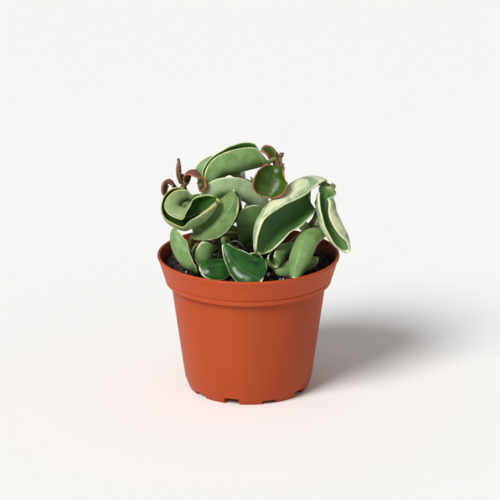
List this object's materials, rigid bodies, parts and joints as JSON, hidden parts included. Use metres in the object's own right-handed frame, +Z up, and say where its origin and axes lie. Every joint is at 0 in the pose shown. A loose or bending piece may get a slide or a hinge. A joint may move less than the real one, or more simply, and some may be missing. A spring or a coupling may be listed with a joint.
{
  "type": "potted hoya plant",
  "caption": "Variegated hoya with folded, curled, cream-edged leaves and red young shoots on short vines in a round tapered nursery pot.",
  "frame": {"origin": "under the middle of the whole plant's outline, on the surface that the pot stands on; the pot's own axis is 3.05 mm to the -X side of it", "axes": "+Z up along the pot's axis; -Y is the front, the side that the reference picture shows; +X is to the right seen from the front"},
  "size_m": [0.1139, 0.108, 0.1497],
  "materials": {
    "pot": "thin satin terracotta-coloured plastic",
    "soil": "dark peat mix with white perlite",
    "vine": "tan woody stem",
    "leaf": "waxy: dark glossy green inside, pale grey-green outside, cream margin",
    "young_leaf": "glossy young leaf, green inside with a red-brown back and margin",
    "dry": "withered, dull brown"
  },
  "bodies": {
    "root": {"pot": "pot", "soil": "soil", "vine_left": "vine", "vine_centre": "vine", "vine_right": "vine", "vine_front": "vine", "vine_low": "vine", "vine_back_left": "vine", "vine_back_right": "vine", "leaf_crown": "leaf", "leaf_behind_crown": "leaf", "leaf_arch": "leaf", "leaf_lobe": "leaf", "leaf_left_swirl": "leaf", "leaf_big_open": "leaf", "leaf_right_hanging": "leaf", "leaf_centre": "leaf", "leaf_shadow": "leaf", "leaf_under": "leaf", "leaf_left_wall": "leaf", "leaf_front_rolled": "leaf", "leaf_front_dark": "leaf", "leaf_front_low": "leaf", "leaf_right_banana": "leaf", "leaf_right_rim": "leaf", "leaf_rolled_tube": "leaf", "leaf_young_cup": "young_leaf", "leaf_young_top": "young_leaf", "leaf_young_loop": "young_leaf", "leaf_young_hook": "young_leaf", "leaf_back_tall": "leaf", "leaf_back_side": "leaf", "leaf_back_middle": "leaf", "leaf_back_right_high": "leaf", "leaf_back_low": "leaf", "leaf_back_left_high": "leaf", "leaf_back_left_low": "leaf", "leaf_back_right_low": "leaf", "flower_stalk_dry": "dry", "bud_tuft": "dry"}
  },
  "joints": []
}
